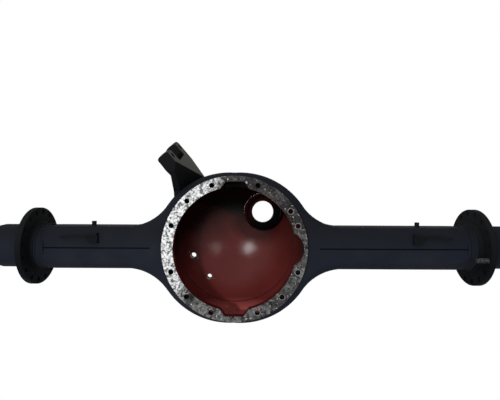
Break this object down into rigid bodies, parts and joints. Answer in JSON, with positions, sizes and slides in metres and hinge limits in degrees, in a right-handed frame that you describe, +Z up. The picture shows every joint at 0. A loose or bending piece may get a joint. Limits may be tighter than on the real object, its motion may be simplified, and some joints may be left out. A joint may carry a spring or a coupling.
{
  "type": "axle housing",
  "caption": "Heavy drive axle housing with a round carrier opening, pressed arms, brake flanges and spindles.",
  "frame": {"origin": "middle of the carrier ring's face", "axes": "+X along the axle to the longer arm, -Y out of the carrier opening, +Z up"},
  "size_m": [2.213, 0.3101, 0.6008],
  "materials": {
    "black_paint": "satin",
    "red_primer": "gloss",
    "bare_iron": "satin"
  },
  "bodies": {
    "root": {"upper_half": "black_paint", "lower_half": "black_paint", "carrier_ring": "bare_iron", "rear_dome": "red_primer", "output_boss": "black_paint", "fill_bung": "black_paint", "sensor_bung": "black_paint", "spindle_left": "black_paint", "spindle_right": "black_paint", "brake_flange_left": "black_paint", "brake_flange_right": "black_paint", "flange_stud": "bare_iron", "torque_rod_bracket": "black_paint", "line_bracket_left": "black_paint", "line_bracket_right": "black_paint", "bracket_peg_left": "black_paint", "bracket_peg_right": "black_paint"}
  },
  "joints": []
}
